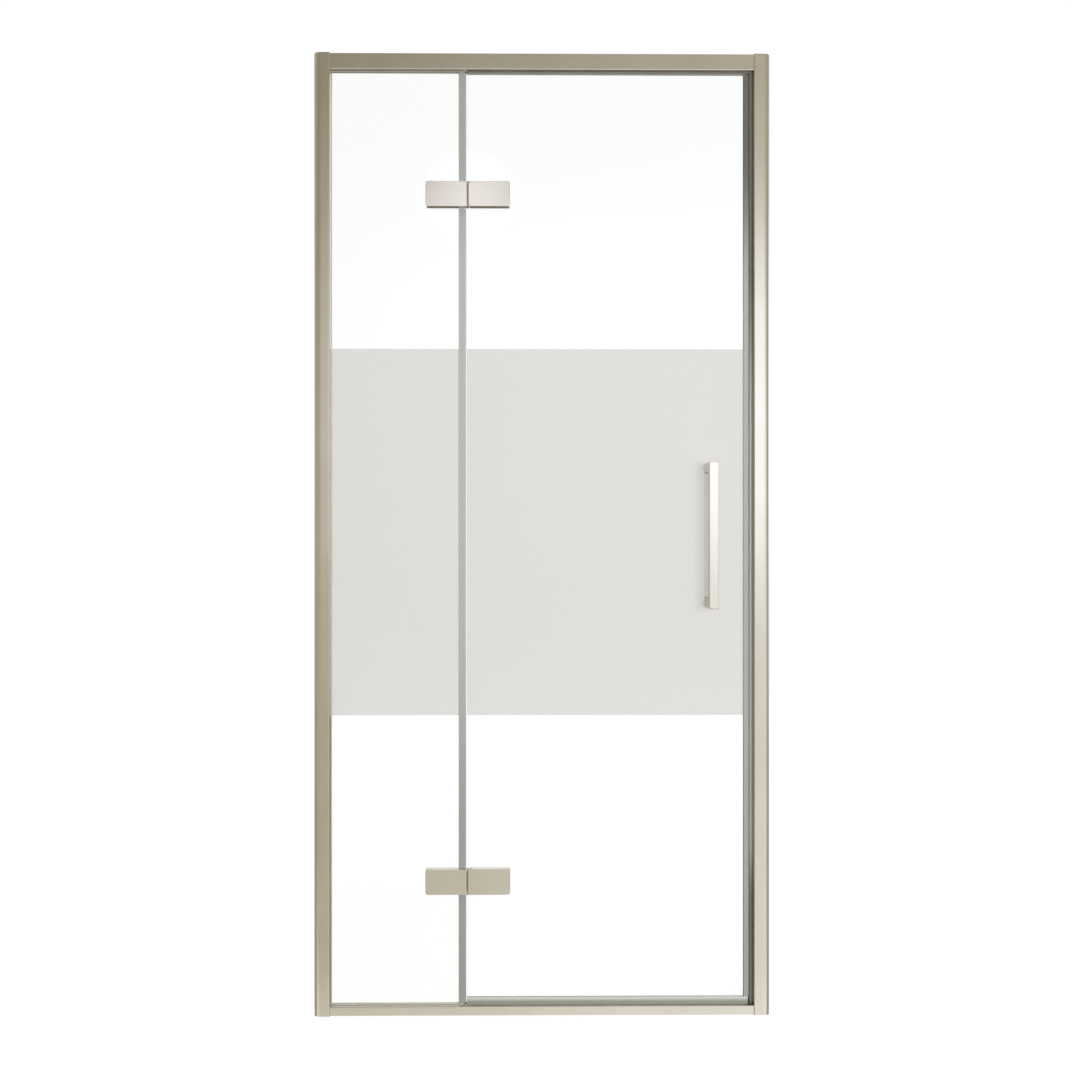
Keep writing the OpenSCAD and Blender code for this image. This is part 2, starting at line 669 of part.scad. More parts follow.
// Door pane, drilled for both hinges and for the handle
module door_glass() color(clear_glass) difference() {
    pane([door_left, -glass_face, door_low], [door_right, glass_face, door_top]);
    for (z = hinge_heights, x = clamp_screws(door_screws_x)) glass_hole(x, z, sleeve_r);
    for (z = handle_legs_z) glass_hole(handle_x, z, handle_sleeve_r);
}
handle_sleeve_r = stud_d / 2 + screw_clear / 2 + sleeve_t;

// Drip seal: grips the bottom edge, with a wiper that sweeps over the threshold towards the outside
module door_bottom_seal() color(clear_seal) {
    top = door_low + bottom_seal_leg;
    web = 1.5;
    wiper_low = sill_h + seal_gap;
    wiper_reach = 4.5;
    outer = glass_face + seal_t;
    along_x(door_left, door_seal_face - 2) difference() {
        union() {
            soft_rect([-outer, door_low - web], [outer, top], [0, 0.6, 0.6, 0.6]);
            polygon([[-outer, door_low + 2], [-outer - wiper_reach + 0.8, wiper_low + 0.4],
                     [-outer - wiper_reach, wiper_low], [-outer - wiper_reach + 2.4, wiper_low],
                     [0.6 - outer, door_low - web]]);
            soft_rect([outer - 2.4, wiper_low], [outer - 1, door_low], [0.5, 0.5, 0, 0]);
        }
        flat([-glass_face, door_low], [glass_face, top + past]);
    }
}

// Magnetic seal on the door pane's free edge: two legs, a web and a chamber for the magnet strip
module door_magnet_seal() color(clear_seal)
    along_z(door_low + bottom_seal_leg, door_top) difference() {
        outer = glass_face + seal_t;
        web_x = door_right + door_web_t;
        union() {
            soft_rect([door_right - door_seal_leg, -outer], [web_x, outer], [0.6, 0, 0, 0.6]);
            soft_rect([door_right, -outer], [door_seal_face, outer], [0, 1.2, 1.2, 0]);
        }
        flat([door_right - door_seal_leg - past, -glass_face], [door_right, glass_face]);
        flat(door_magnet_low() - [magnet_fit, magnet_fit], door_magnet_high() + [magnet_fit, magnet_fit]);
    }
function door_magnet_low() = [door_seal_face - magnet_skin - magnet_t, -magnet_w / 2];
function door_magnet_high() = [door_seal_face - magnet_skin, magnet_w / 2];
module door_magnet() color(steel)
    along_z(door_low + bottom_seal_leg + 2, door_top - 2) flat(door_magnet_low(), door_magnet_high());

// Bar handle: a square bar on two legs joined by a thin strip, screwed through the glass from the inside
module outer_handle() color(nickel_pale) difference() {
    half = handle_l / 2;
    bar_back = handle_front - handle_bar;
    r = handle_edge_r;
    corner_r = 1.5;
    intersection() {
        along_z(-half, half)
            soft_rect([-handle_bar / 2, -handle_front], [handle_bar / 2, -handle_foot], [r, r, 0, 0]);
        along_x(-handle_bar / 2, handle_bar / 2) difference() {
            soft_rect([-handle_front, -half], [-handle_foot, half], [corner_r, 0, 0, corner_r]);
            soft_rect([-bar_back, -half + handle_bar], [-handle_foot - handle_strip_t, half - handle_bar],
                      [corner_r, corner_r, corner_r, corner_r]);
        }
        along_y(-handle_front, -handle_foot)
            soft_rect([-handle_bar / 2, -half], [handle_bar / 2, half], [r, r, r, r]);
    }
    for (z = handle_legs_z)
        rod_y(-handle_foot - stud_bite - 1, -handle_foot + past, 0, z - handle_z, stud_d / 2 + thread_gap);
}
module outer_handle_placed() translate([handle_x, 0, handle_z]) outer_handle();
module handle_studs() color(steel) for (z = handle_legs_z)
    rod_y(-handle_foot - stud_bite, handle_foot + knob_l - 3, handle_x, z, stud_d / 2);
module handle_sleeves() color(nylon) for (z = handle_legs_z) difference() {
    rod_y(-glass_face, glass_face, handle_x, z, handle_sleeve_r);
    rod_y(-handle_foot, handle_foot, handle_x, z, stud_d / 2 + screw_clear / 2);
}
module handle_washers() color(clear_seal) for (z = handle_legs_z, side = [-1, 1])
    translate([handle_x, side * (glass_face + handle_washer_t / 2), z]) rotate([90, 0, 0]) difference() {
        cylinder(h = handle_washer_t, r = min(handle_bar, knob_d) / 2 - 0.6, center = true);
        cylinder(h = handle_washer_t + past, r = stud_d / 2 + screw_clear / 2, center = true);
    }

// Round knobs that hold the handle's studs on the inside
module inner_knobs() color(nickel_pale) for (z = handle_legs_z)
    translate([handle_x, handle_foot, z]) rotate([-90, 0, 0]) rotate_extrude() difference() {
        waist = 1.2;
        soft_rect([0, 0], [knob_d / 2, knob_l], [0, 0.5, 1.2, 0]);
        translate([knob_d / 2 + 2 * waist, knob_l * 0.45]) circle(r = 3 * waist);
        flat([-past, -past], [stud_d / 2 + thread_gap, knob_l - 2.5]);
    }

at_left_wall() wall_channel();  // wall_channel_left
at_right_wall() wall_channel();  // wall_channel_right
at_left_wall() jamb();  // jamb_left
at_right_wall() jamb();  // jamb_right
at_left_wall() post_cap();  // post_cap_left
at_right_wall() post_cap();  // post_cap_right
top_rail();
threshold();
threshold_infill();
at_left_wall() corner_screws();  // corner_screws_left
at_right_wall() corner_screws();  // corner_screws_right
at_left_wall() lock_screws();  // lock_screws_left
at_right_wall() lock_screws();  // lock_screws_right
at_left_wall() screw_covers();  // screw_covers_left
at_right_wall() screw_covers();  // screw_covers_right
fixed_glass();
setting_blocks();
glazing_gasket_front();
glazing_gasket_back();
panel_edge_seal();
top_stop_seal();
jamb_magnet_holder();
jamb_magnet();
translate([0, 0, hinge_heights[1]]) fixed_leaf();  // upper_hinge_fixed_leaf
translate([0, 0, hinge_heights[1]]) fixed_clamp();  // upper_hinge_fixed_clamp
translate([0, 0, hinge_heights[0]]) fixed_leaf();  // lower_hinge_fixed_leaf
translate([0, 0, hinge_heights[0]]) fixed_clamp();  // lower_hinge_fixed_clamp
hinge_pins();
hinge_washers();
hinge_pads([hinge_left, fixed_right], fixed_clamp, clamp_screws(fixed_screws_x));  // fixed_hinge_pads
hinge_sleeves(clamp_screws(fixed_screws_x));  // fixed_hinge_sleeves
hinge_screws(clamp_screws(fixed_screws_x));  // fixed_hinge_screws
door_glass();
door_bottom_seal();
door_magnet_seal();
door_magnet();
translate([0, 0, hinge_heights[1]]) door_leaf();  // upper_hinge_door_leaf
translate([0, 0, hinge_heights[1]]) door_clamp();  // upper_hinge_door_clamp
translate([0, 0, hinge_heights[0]]) door_leaf();  // lower_hinge_door_leaf
translate([0, 0, hinge_heights[0]]) door_clamp();  // lower_hinge_door_clamp
hinge_pads([door_clamp_left, hinge_right], door_clamp, clamp_screws(door_screws_x));  // door_hinge_pads
hinge_sleeves(clamp_screws(door_screws_x));  // door_hinge_sleeves
hinge_screws(clamp_screws(door_screws_x));  // door_hinge_screws
outer_handle_placed();  // outer_handle
handle_studs();
handle_sleeves();
handle_washers();
inner_knobs();
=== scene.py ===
# Looks of the hinged shower door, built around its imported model. Lengths are in metres unless said.
import json
import math

import bmesh
import bpy
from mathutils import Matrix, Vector


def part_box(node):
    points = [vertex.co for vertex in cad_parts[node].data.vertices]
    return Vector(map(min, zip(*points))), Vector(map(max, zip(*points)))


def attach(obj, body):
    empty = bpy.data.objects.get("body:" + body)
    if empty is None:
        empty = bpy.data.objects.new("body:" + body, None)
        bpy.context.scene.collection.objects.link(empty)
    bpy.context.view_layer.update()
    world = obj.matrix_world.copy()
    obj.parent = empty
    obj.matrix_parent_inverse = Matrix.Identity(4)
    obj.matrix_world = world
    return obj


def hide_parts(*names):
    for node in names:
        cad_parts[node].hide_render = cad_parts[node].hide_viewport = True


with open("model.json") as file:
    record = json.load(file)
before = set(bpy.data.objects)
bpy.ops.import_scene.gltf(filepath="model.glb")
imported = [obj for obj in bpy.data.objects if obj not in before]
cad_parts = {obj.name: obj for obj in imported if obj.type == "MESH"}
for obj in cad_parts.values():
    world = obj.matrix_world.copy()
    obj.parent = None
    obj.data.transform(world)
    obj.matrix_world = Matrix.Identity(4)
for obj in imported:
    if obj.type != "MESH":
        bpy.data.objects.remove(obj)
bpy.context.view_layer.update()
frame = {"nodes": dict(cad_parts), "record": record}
scene = bpy.context.scene
MM = 0.001


def linear(code):
    """Linear RGBA of an sRGB hex colour."""
    shares = [int(code[i:i + 2], 16) / 255 for i in (1, 3, 5)]
    return tuple(c / 12.92 if c <= 0.04045 else ((c + 0.055) / 1.055) ** 2.4 for c in shares) + (1.0,)


def add(tree, kind, inputs=None, **settings):
    """A node of a tree with its settings, its inputs set to values or linked to outputs."""
    made = tree.nodes.new(kind)
    for name, value in settings.items():
        setattr(made, name, value)
    for key, value in (inputs or {}).items():
        if isinstance(value, bpy.types.NodeSocket):
            tree.links.new(value, made.inputs[key])
        else:
            made.inputs[key].default_value = value
    return made


# Camera: square on to the door, as the photograph was taken. The turn is in degrees.
CAMERA_PLACE = (-26.3 * MM, -2057.4 * MM, 944.8 * MM)
CAMERA_TURN = -0.447
NEAREST_SEEN = 0.05
PHOTO_SIDE = 1074
FOCAL_PIXELS = 1034
SENSOR = 36
camera = bpy.data.objects.new("camera", bpy.data.cameras.new("camera"))
camera.data.sensor_width = SENSOR
camera.data.lens = SENSOR * FOCAL_PIXELS / PHOTO_SIDE
camera.data.clip_start = NEAREST_SEEN
camera.location = CAMERA_PLACE
camera.rotation_euler = (math.radians(90), 0, math.radians(CAMERA_TURN))
scene.collection.objects.link(camera)
scene.camera = camera
scene.view_settings.view_transform = "Standard"


# Studio, as the metal mirrors it. In front of the door lies a warm room, lighter to the right and darker
# above, with a bright window right of the middle, a small highlight above and a pale floor near by. Far to
# every side it is brown, and behind the door it is dark brown below and white above. A slope is the step
# across, or up, for each step forwards. Each soft edge is a pair of slopes: where its colour starts, and
# where it is full. The rear's two edges are parts of a direction of length 1 instead: up, and backwards.
WHITE = linear("#ffffff")
ROOM_LOW_LEFT, ROOM_LOW_RIGHT = (0.6, 0.56, 0.445, 1), (1.05, 1.05, 1.03, 1)
ROOM_HIGH_LEFT, ROOM_HIGH_RIGHT = (0.38, 0.34, 0.26, 1), (0.62, 0.58, 0.48, 1)
ROOM_RIGHT_EDGE, ROOM_HIGH_EDGE = (-0.26, 0.26), (0.1, 0.46)
NEAR_FLOOR_COLOUR, NEAR_FLOOR_EDGE = (1.7, 1.69, 1.66, 1), (-0.49, -0.53)
FAR_COLOUR, FAR_EDGE = (0.52, 0.47, 0.37, 1), (0.6, 1.5)
WINDOW_COLOUR = (1.62, 1.67, 1.78, 1)
WINDOW_LEFT_EDGE, WINDOW_RIGHT_EDGE = (-0.27, 0.06), (0.7, 0.4)
WINDOW_LOW_EDGE, WINDOW_HIGH_EDGE = (-0.085, 0.03), (0.37, 0.18)
GLINT_COLOUR, GLINT_MIDDLE, GLINT_EDGE = (3.6, 3.65, 4.4, 1), (-0.058, 0.33, 0.0), (0.053, 0.0)
REAR_LOW_COLOUR, REAR_HIGH_EDGE, REAR_EDGE = (0.2, 0.175, 0.13, 1), (-0.26, -0.04), (-0.1, 0.2)
LEAST_FORWARDS = 0.05
BACKGROUND = (1.03, 1.025, 1.03, 1)


def seen_plainly(tree):
    """Share that is 1 for what the camera sees, also through glass, and 0 for what metal mirrors."""
    path = add(tree, "ShaderNodeLightPath").outputs
    seen = add(tree, "ShaderNodeMath", {0: path["Is Camera Ray"], 1: path["Is Transmission Ray"]},
               operation="MAXIMUM").outputs[0]
    unmirrored = add(tree, "ShaderNodeMath", {0: path["Glossy Depth"], 1: 0.5},
                     operation="LESS_THAN").outputs[0]
    return add(tree, "ShaderNodeMath", {0: seen, 1: unmirrored}, operation="MULTIPLY").outputs[0]


def studio():
    """World whose colour follows the direction, with plain white for what the camera sees behind."""
    world = bpy.data.worlds.new("studio")
    scene.world = world
    world.use_nodes = True
    tree = world.node_tree
    tree.nodes.clear()

    way = add(tree, "ShaderNodeTexCoord").outputs["Generated"]
    parts = add(tree, "ShaderNodeSeparateXYZ", {0: way}).outputs
    forwards = add(tree, "ShaderNodeMath", {0: parts["Y"], 1: -1.0}, operation="MULTIPLY").outputs[0]
    forwards = add(tree, "ShaderNodeMath", {0: forwards, 1: LEAST_FORWARDS}, operation="MAXIMUM").outputs[0]
    across, up = (add(tree, "ShaderNodeMath", {0: parts[axis], 1: forwards}, operation="DIVIDE").outputs[0]
                  for axis in ("X", "Z"))
    slope = add(tree, "ShaderNodeCombineXYZ", {0: across, 1: up}).outputs[0]
    far = add(tree, "ShaderNodeVectorMath", {0: slope}, operation="LENGTH").outputs["Value"]
    from_glint = add(tree, "ShaderNodeVectorMath", {0: slope, 1: GLINT_MIDDLE},
                     operation="DISTANCE").outputs["Value"]

    edges = {"room right": (across, ROOM_RIGHT_EDGE), "room high": (up, ROOM_HIGH_EDGE),
             "near floor": (up, NEAR_FLOOR_EDGE), "far": (far, FAR_EDGE),
             "window left": (across, WINDOW_LEFT_EDGE), "window low": (up, WINDOW_LOW_EDGE),
             "window right": (across, WINDOW_RIGHT_EDGE), "window high": (up, WINDOW_HIGH_EDGE),
             "glint": (from_glint, GLINT_EDGE), "rear high": (parts["Z"], REAR_HIGH_EDGE),
             "rear": (parts["Y"], REAR_EDGE)}
    share = {edge: add(tree, "ShaderNodeMapRange", {0: value, 1: none, 2: full},
                       interpolation_type="SMOOTHSTEP").outputs[0]
             for edge, (value, (none, full)) in edges.items()}
    window = share["window left"]
    for edge in ("window low", "window right", "window high"):
        window = add(tree, "ShaderNodeMath", {0: window, 1: share[edge]}, operation="MULTIPLY").outputs[0]

    colour, room_high, rear = (
        add(tree, "ShaderNodeMix", {"Factor": part, 6: first, 7: second}, data_type="RGBA").outputs[2]
        for first, second, part in ((ROOM_LOW_LEFT, ROOM_LOW_RIGHT, share["room right"]),
                                    (ROOM_HIGH_LEFT, ROOM_HIGH_RIGHT, share["room right"]),
                                    (REAR_LOW_COLOUR, WHITE, share["rear high"])))
    for over, part in ((NEAR_FLOOR_COLOUR, share["near floor"]), (room_high, share["room high"]),
                       (FAR_COLOUR, share["far"]), (WINDOW_COLOUR, window), (GLINT_COLOUR, share["glint"]),
                       (rear, share["rear"]), (BACKGROUND, seen_plainly(tree))):
        colour = add(tree, "ShaderNodeMix", {"Factor": part, 6: colour, 7: over},
                     data_type="RGBA").outputs[2]
    shade = add(tree, "ShaderNodeBackground", {"Color": colour, "Strength": 1.0}).outputs[0]
    add(tree, "ShaderNodeOutputWorld", {"Surface": shade})


def lamp(name, place, target, side, power):
    """Square soft lamp that faces a target. Metal mirrors the studio's window, and never the lamp."""
    light = bpy.data.lights.new(name, "AREA")
    light.size = side
    light.energy = power
    holder = bpy.data.objects.new(name, light)
    holder.location = place
    holder.rotation_euler = (Vector(target) - Vector(place)).to_track_quat("-Z", "Y").to_euler()
    holder.visible_camera = holder.visible_glossy = holder.visible_transmission = False
    scene.collection.objects.link(holder)


studio()
lamp("key_lamp", place=(0.86, -2.35, 1.0), target=(0.2, 0, 0.95), side=0.5, power=22)
lamp("back_lamp", place=(-1.4, 2.4, 2.6), target=(0, 0, 1.0), side=1.4, power=16)


def material(name):
    """Empty material, its node tree and its output node."""
    made = bpy.data.materials.new(name)
    made.use_nodes = True
    tree = made.node_tree
    tree.nodes.clear()
    return made, tree, add(tree, "ShaderNodeOutputMaterial")


# Floor: its glow makes it look white, a little less near the door than from a distance on. Its paint is
# mid grey, so that it throws little light up on the etched glass.
FLOOR_PAINT = "#6c6c6c"
FLOOR_GLOW = 0.94
FLOOR_WHITE_FROM, FLOOR_WHITE_TO = 0.7, 2.2
FLOOR_HALF = 4.0


def floor():
    """Pale floor that looks white and keeps the object's soft shadow."""
    made, tree, out = material("white_studio_floor")
    where = add(tree, "ShaderNodeTexCoord").outputs["Object"]
    far = add(tree, "ShaderNodeVectorMath", {0: where}, operation="LENGTH").outputs["Value"]
    glow = add(tree, "ShaderNodeMapRange",
               {0: far, 1: FLOOR_WHITE_FROM, 2: FLOOR_WHITE_TO, 3: FLOOR_GLOW, 4: 1.0}).outputs[0]
    glow = add(tree, "ShaderNodeMath", {0: glow, 1: seen_plainly(tree)}, operation="MULTIPLY").outputs[0]
    light = add(tree, "ShaderNodeEmission", {"Color": WHITE, "Strength": glow}).outputs[0]
    paint = add(tree, "ShaderNodeBsdfDiffuse", {"Color": linear(FLOOR_PAINT)}).outputs[0]
    both = add(tree, "ShaderNodeAddShader", {0: light, 1: paint}).outputs[0]
    tree.links.new(both, out.inputs["Surface"])
    mesh = bpy.data.meshes.new("floor")
    corners = [(x * FLOOR_HALF, y * FLOOR_HALF, 0) for x, y in ((-1, -1), (1, -1), (1, 1), (-1, 1))]
    mesh.from_pydata(corners, [], [(0, 1, 2, 3)])
    mesh.materials.append(made)
    ground = bpy.data.objects.new("floor", mesh)
    ground.visible_glossy = False
    scene.collection.objects.link(ground)


floor()


# Metal brushed along one axis. Most values of a noise lie between NOISE_LOW and NOISE_HIGH.
X_AXIS, Y_AXIS, Z_AXIS = 0, 1, 2
NOISE_LOW, NOISE_HIGH = 0.3, 0.7
LINE_STRETCH = 60
LINES_IN_TINT = 0.4
CLOUD_WIDTH = 111 * MM
METAL_ROUGHNESS_SPREAD = 0.015
LINE_BUMP = 0.18


def brushed_metal(name, colour, worn, roughness, along, grain, lift=0.02 * MM):
    """Fine lines and wide faint clouds blend the worn colour into the fresh one. Real brushing leaves lines
    about 0.1 mm wide. On the large pieces they are drawn 0.25 to 0.35 mm wide, so that they show."""
    made, tree, out = material(name)
    where = add(tree, "ShaderNodeTexCoord").outputs["Object"]
    scale = [1 / grain] * 3
    scale[along] /= LINE_STRETCH
    lines_at = add(tree, "ShaderNodeVectorMath", {0: where, 1: scale}, operation="MULTIPLY").outputs[0]
    lines = add(tree, "ShaderNodeTexNoise",
                {"Vector": lines_at, "Scale": 1.0, "Detail": 2.0}).outputs["Fac"]
    cloud = add(tree, "ShaderNodeTexNoise",
                {"Vector": where, "Scale": 1 / CLOUD_WIDTH, "Detail": 3.0}).outputs["Fac"]
    mixed = add(tree, "ShaderNodeMix", {"Factor": LINES_IN_TINT, "A": cloud, "B": lines}).outputs[0]
    tint = add(tree, "ShaderNodeMapRange", {0: mixed, 1: NOISE_LOW, 2: NOISE_HIGH}).outputs[0]
    tone = add(tree, "ShaderNodeMix", {"Factor": tint, 6: linear(worn), 7: linear(colour)},
               data_type="RGBA").outputs[2]
    rough = add(tree, "ShaderNodeMapRange",
                {0: lines, 1: NOISE_LOW, 2: NOISE_HIGH, 3: roughness - METAL_ROUGHNESS_SPREAD,
                 4: roughness + METAL_ROUGHNESS_SPREAD}).outputs[0]
    bump = add(tree, "ShaderNodeBump",
               {"Height": lines, "Strength": LINE_BUMP, "Distance": lift}).outputs[0]
    shade = add(tree, "ShaderNodeBsdfPrincipled",
                {"Base Color": tone, "Metallic": 1.0, "Roughness": rough, "Normal": bump})
    tree.links.new(shade.outputs[0], out.inputs["Surface"])
    return made


# Extruded aluminium, brushed along its length and anodised in a nickel tone: a soft broad shine that
# grades slowly over the flat fronts, with faint lines along the profile
post_metal = brushed_metal("brushed_anodised_aluminium_post", "#d4d0c6", "#cac5ba", 0.18, Z_AXIS,
                           grain=0.35 * MM)
rail_metal = brushed_metal("brushed_anodised_aluminium_rail", "#d4d0c6", "#cac5ba", 0.18, X_AXIS,
                           grain=0.35 * MM)
# Steel, brushed and then plated with nickel: paler and a touch sharper than the anodised frame
hinge_metal = brushed_metal("brushed_nickel_plated_steel_hinge", "#dad6cc", "#d0cbc0", 0.17, X_AXIS,
                            grain=0.25 * MM)
handle_metal = brushed_metal("brushed_nickel_plated_steel_handle", "#dad6cc", "#d0cbc0", 0.17, Z_AXIS,
                             grain=0.25 * MM)
# Stainless steel, turned: colder and duller than the plate around it, its tool marks too fine for relief
screw_steel = brushed_metal("turned_stainless_steel_screw", "#c6c7c8", "#c0c1c2", 0.28, Y_AXIS,
                            grain=0.1 * MM, lift=0)


GLASS_IOR = 1.5


def glass(name, colour, roughness, body, shadow):
    """Body is the share of light that the surface scatters as paint would. Shadow is the colour of the
    lamplight that comes through, so that the pane throws no dark shadow."""
    made, tree, out = material(name)
    shade = add(tree, "ShaderNodeBsdfPrincipled",
                {"Base Color": linear(colour), "Roughness": roughness, "IOR": GLASS_IOR,
                 "Transmission Weight": 1 - body}).outputs[0]
    lit = add(tree, "ShaderNodeBsdfTransparent", {"Color": linear(shadow)}).outputs[0]
    from_lamp = add(tree, "ShaderNodeLightPath").outputs["Is Shadow Ray"]
    both = add(tree, "ShaderNodeMixShader", {0: from_lamp, 1: shade, 2: lit}).outputs[0]
    tree.links.new(both, out.inputs["Surface"])
    return made


# Float glass, toughened, its faces smooth from the molten tin: clear, and seen by sharp reflections alone
clear_glass = glass("clear_float_glass", "#fcfefd", 0.0, 0.0, "#f4f6f5")
# The same glass, etched with acid: an even pale grey veil that blurs what lies behind it
etched_glass = glass("acid_etched_glass", "#dcdad8", 0.5, 0.35, "#d0d0ce")
# Its edges, ground and seen through the width of the pane: a frosty line with a faint green
edge_glass = glass("ground_glass_edge", "#d8ebe2", 0.25, 0.1, "#e0ece6")


# Plastic and rubber: the skin that extruding or moulding leaves has a fine unevenness. The real one is
# about 0.3 mm wide, and it is drawn 1.5 mm wide, so that it shows. A strip with no low end of another
# tone has that end below the floor.
PLASTIC_IOR = 1.53
SKIN_GRAIN = 1.5 * MM
SKIN_LIFT = 0.01 * MM
SKIN_BUMP = 0.3
SKIN_ROUGHNESS_SPREAD = 0.05
NO_LOW_END = (-1.0, -0.5)


def plastic(name, colour, roughness, passing=0.0, gloss=0.5, ends=None):
    """Passing is the share of light that goes through. Ends is the colour of a strip's low and high ends,
    painted light and shade that change along its height, and then for each end the two heights between which
    the tone changes."""
    made, tree, out = material(name)
    where = add(tree, "ShaderNodeTexCoord").outputs["Object"]
    tone = linear(colour)
    if ends:
        painted_end_colour, low_end, high_end = ends
        height = add(tree, "ShaderNodeSeparateXYZ", {0: where}).outputs["Z"]
        over_low, over_high = (
            add(tree, "ShaderNodeMapRange", {0: height, 1: start, 2: stop},
                interpolation_type="SMOOTHSTEP").outputs[0] for start, stop in (low_end, high_end))
        between = add(tree, "ShaderNodeMath", {0: over_low, 1: over_high}, operation="SUBTRACT").outputs[0]
        tone = add(tree, "ShaderNodeMix", {"Factor": between, 6: linear(painted_end_colour), 7: tone},
                   data_type="RGBA").outputs[2]
    spots = add(tree, "ShaderNodeTexNoise",
                {"Vector": where, "Scale": 1 / SKIN_GRAIN, "Detail": 2.0}).outputs["Fac"]
    rough = add(tree, "ShaderNodeMapRange",
                {0: spots, 1: NOISE_LOW, 2: NOISE_HIGH, 3: roughness - SKIN_ROUGHNESS_SPREAD,
                 4: roughness + SKIN_ROUGHNESS_SPREAD}).outputs[0]
    bump = add(tree, "ShaderNodeBump",
               {"Height": spots, "Strength": SKIN_BUMP, "Distance": SKIN_LIFT}).outputs[0]
    shade = add(tree, "ShaderNodeBsdfPrincipled",
                {"Base Color": tone, "Roughness": rough, "IOR": PLASTIC_IOR, "Normal": bump,
                 "Transmission Weight": passing, "Specular IOR Level": gloss})
    tree.links.new(shade.outputs[0], out.inputs["Surface"])
    return made


# Clear PVC, extruded: milky where it is thick, a soft shine, a cool grey-green, its ends darkened with
# painted shade
seal_plastic = plastic("extruded_clear_pvc_seal", "#dce2e2", 0.3, passing=0.2,
                       ends=("#c4cecb", (0.35, 0.75), (1.42, 1.75)))
# The same over the dark magnet strip, with painted shade that darkens it near the top
magnet_seal_plastic = plastic("extruded_clear_pvc_magnet_seal", "#cdd1d0", 0.3, passing=0.2,
                              ends=("#7c7a72", NO_LOW_END, (1.42, 1.70)))
# The same as a drip seal: two white walls and, between them, one grey line of painted shade where its hollow
# lies
bottom_plastic = plastic("extruded_clear_pvc_bottom_seal", "#a8aba3", 0.3, passing=0.05,
                         ends=("#ffffff", (0.012, 0.019), (0.022, 0.031)))
# Grey soft rubber, extruded: opaque, the strike glossy and the stop dull
# The strike is pale along its middle with a painted reflection, and dark at its ends with painted shade
strike_rubber = plastic("extruded_grey_tpe_strike", "#b8bab8", 0.3, gloss=1.0,
                        ends=("#6e6d66", (0.22, 0.36), (1.15, 1.5)))
stop_rubber = plastic("extruded_grey_tpe_stop", "#b3afa6", 0.5)
# Pale soft PVC, extruded: a dull off-white line beside the metal, warmer in the rail's shade
gasket_rubber = plastic("extruded_pale_pvc_gasket", "#fffcf5", 0.5,
                        ends=("#e8e3d7", NO_LOW_END, (1.8, 1.86)))
# Neoprene, moulded: near black, with hardly any shine
block_rubber = plastic("moulded_black_neoprene_block", "#2c2c2a", 0.7)
# Ferrite powder bonded in rubber and extruded: dark brown grey and dull
magnet_ferrite = plastic("bonded_ferrite_strip", "#3a3834", 0.6)
# Nylon, moulded: a plain white with a waxy shine
sleeve_nylon = plastic("moulded_white_nylon_sleeve", "#ecece8", 0.45)
# Pearl PVC, extruded, that lets most light through from behind: a milky line between the handle's legs, its
# near-white tone painted light in the bar's shadow
strip_painted_light = plastic("extruded_pvc_strip_painted_light", "#fefcf7", 0.45, passing=0.9)

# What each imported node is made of
FINISHES = {
    post_metal: ["wall_channel_left", "wall_channel_right", "jamb_left", "jamb_right",
                 "post_cap_left", "post_cap_right"],
    rail_metal: ["top_rail", "threshold", "threshold_infill"],
    hinge_metal: ["upper_hinge_fixed_leaf", "upper_hinge_fixed_clamp", "lower_hinge_fixed_leaf",
                  "lower_hinge_fixed_clamp", "upper_hinge_door_leaf", "upper_hinge_door_clamp",
                  "lower_hinge_door_leaf", "lower_hinge_door_clamp"],
    handle_metal: ["outer_handle", "inner_knobs", "screw_covers_left", "screw_covers_right"],
    seal_plastic: ["panel_edge_seal", "fixed_hinge_pads", "door_hinge_pads", "handle_washers"],
    bottom_plastic: ["door_bottom_seal"],
    magnet_seal_plastic: ["door_magnet_seal"],
    gasket_rubber: ["glazing_gasket_front", "glazing_gasket_back"],
    strike_rubber: ["jamb_magnet_holder"],
    stop_rubber: ["top_stop_seal"],
    block_rubber: ["setting_blocks"],
    magnet_ferrite: ["jamb_magnet", "door_magnet"],
    sleeve_nylon: ["fixed_hinge_sleeves", "door_hinge_sleeves", "handle_sleeves", "hinge_washers"],
    screw_steel: ["corner_screws_left", "corner_screws_right", "lock_screws_left", "lock_screws_right",
                  "hinge_pins", "fixed_hinge_screws", "door_hinge_screws", "handle_studs"],
    clear_glass: ["fixed_glass", "door_glass"],
}
FINISH_OF = {name: finish for finish, names in FINISHES.items() for name in names}
BODY_OF = {node: body for body, nodes in frame["record"]["behaviour"]["bodies"].items() for node in nodes}
for name, finish in FINISH_OF.items():
    for holder in frame["nodes"][name].material_slots:
        holder.material = finish


# Points closer than MERGE_DISTANCE become one, and so do faces that differ by less than SAME_PLANE. Edges
# that turn by more than SHARP_EDGE stay sharp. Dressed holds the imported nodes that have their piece.
MERGE_DISTANCE = 0.002 * MM
SAME_PLANE = math.radians(0.2)
SHARP_EDGE = math.radians(28)
dressed = set()


def settle(piece, node_name):
    """Last step of a piece: its modifiers are made mesh, it is attached to its body, and its imported node is
    hidden and counted as dressed.
    """
    raw = piece.data
    graph = bpy.context.evaluated_depsgraph_get()
    piece.data = bpy.data.meshes.new_from_object(piece.evaluated_get(graph))
    piece.modifiers.clear()
    bpy.data.meshes.remove(raw)
    piece.data.name = piece.name
    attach(piece, BODY_OF[node_name])
    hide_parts(node_name)
    dressed.add(node_name)


